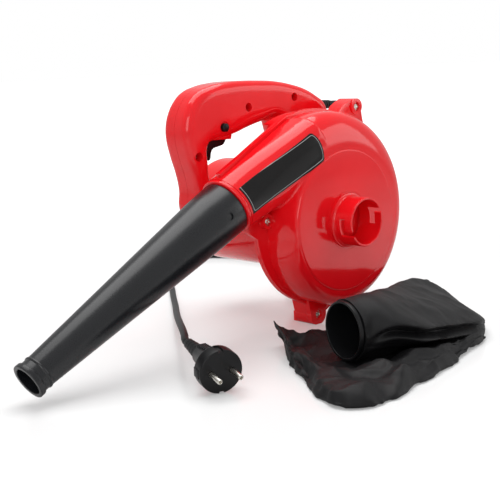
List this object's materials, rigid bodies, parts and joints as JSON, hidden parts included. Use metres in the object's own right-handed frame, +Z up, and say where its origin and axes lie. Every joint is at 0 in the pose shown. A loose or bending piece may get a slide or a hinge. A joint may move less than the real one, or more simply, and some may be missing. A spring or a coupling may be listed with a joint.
{
  "type": "car dryer blower",
  "caption": "Hand-held electric air blower with a scroll fan casing, a D-handle with trigger, a tapered push-on nozzle, a mains lead with plug and a separate cloth dust bag.",
  "frame": {"origin": "middle of the flat sole of the casing's rear shell, on the ground below the fan axis", "axes": "+Z up; the fan axis runs along Y with the air inlet facing -Y and the motor on the +Y side; the nozzle points to -X and slopes down"},
  "size_m": [0.5657, 0.6078, 0.2555],
  "materials": {
    "red_shell": "glossy moulded plastic",
    "black_plastic": "satin moulded plastic",
    "grey_plastic": "satin",
    "label": "printed film, semi-gloss",
    "cord_sheath": "smooth sheath, satin",
    "bag_cloth": "thin woven nylon",
    "nickel": "nickel plated",
    "steel": "machined",
    "copper": "enamelled copper",
    "brass": "stamped brass",
    "carbon": "pressed carbon"
  },
  "bodies": {
    "blower": {"volute_front_cover": "red_shell", "volute_rear_shell": "red_shell", "outlet_spigot": "red_shell", "label_plate": "label", "housing_front_half": "red_shell", "housing_rear_half": "red_shell", "switch_body": "black_plastic", "capacitor": "grey_plastic", "cord_gland": "cord_sheath", "cord_clamp": "black_plastic", "cord_tail": "cord_sheath", "case_screw_left": "nickel", "case_screw_bottom": "nickel", "case_screw_top_right": "nickel", "handle_screw_front": "nickel", "handle_screw_middle": "nickel", "handle_screw_rear": "nickel", "mount_screw_1": "nickel", "mount_screw_2": "nickel", "mount_screw_3": "nickel", "mount_screw_4": "nickel", "clamp_screw_1": "nickel", "clamp_screw_2": "nickel", "front_bearing": "steel", "rear_bearing": "steel", "stator_core": "steel", "field_coil_upper": "copper", "field_coil_lower": "copper", "brush_holder_right": "brass", "brush_right": "carbon", "brush_spring_right": "steel", "brush_holder_left": "brass", "brush_left": "carbon", "brush_spring_left": "steel", "cord_lead": "cord_sheath", "cord_coil": "cord_sheath", "cord_run": "cord_sheath", "plug_body": "cord_sheath", "plug_pin_1": "nickel", "plug_pin_2": "nickel", "plug_relief": "cord_sheath", "bag_collar": "black_plastic", "dust_bag": "bag_cloth"},
    "rotor": {"impeller": "red_shell", "impeller_washer": "steel", "impeller_nut": "steel", "shaft": "steel", "armature_core": "steel", "armature_winding_front": "copper", "armature_winding_rear": "copper", "commutator": "copper"},
    "trigger": {"trigger": "black_plastic"},
    "lock_button": {"lock_on_button": "black_plastic"},
    "nozzle": {"nozzle": "black_plastic"}
  },
  "joints": [
    {"name": "rotor_spin", "type": "hinge", "parent": "blower", "child": "rotor", "pos_m": [0.009, 0, 0.112], "axis": [0, 1, 0], "continuous": true},
    {"name": "trigger_squeeze", "type": "slide", "parent": "blower", "child": "trigger", "axis": [0, 0, 1], "range_m": [0, 0.006], "stiffness_N_per_m": 300, "springref_m": -0.006},
    {"name": "lock_button_press", "type": "slide", "parent": "blower", "child": "lock_button", "axis": [0, 1, 0], "range_m": [0, 0.003], "stiffness_N_per_m": 300, "springref_m": -0.003},
    {"name": "nozzle_twist", "type": "hinge", "parent": "blower", "child": "nozzle", "pos_m": [-0.16142, -0.0125, 0.11607], "axis": [-0.891, 0, -0.454], "range_deg": [0, 30]}
  ]
}
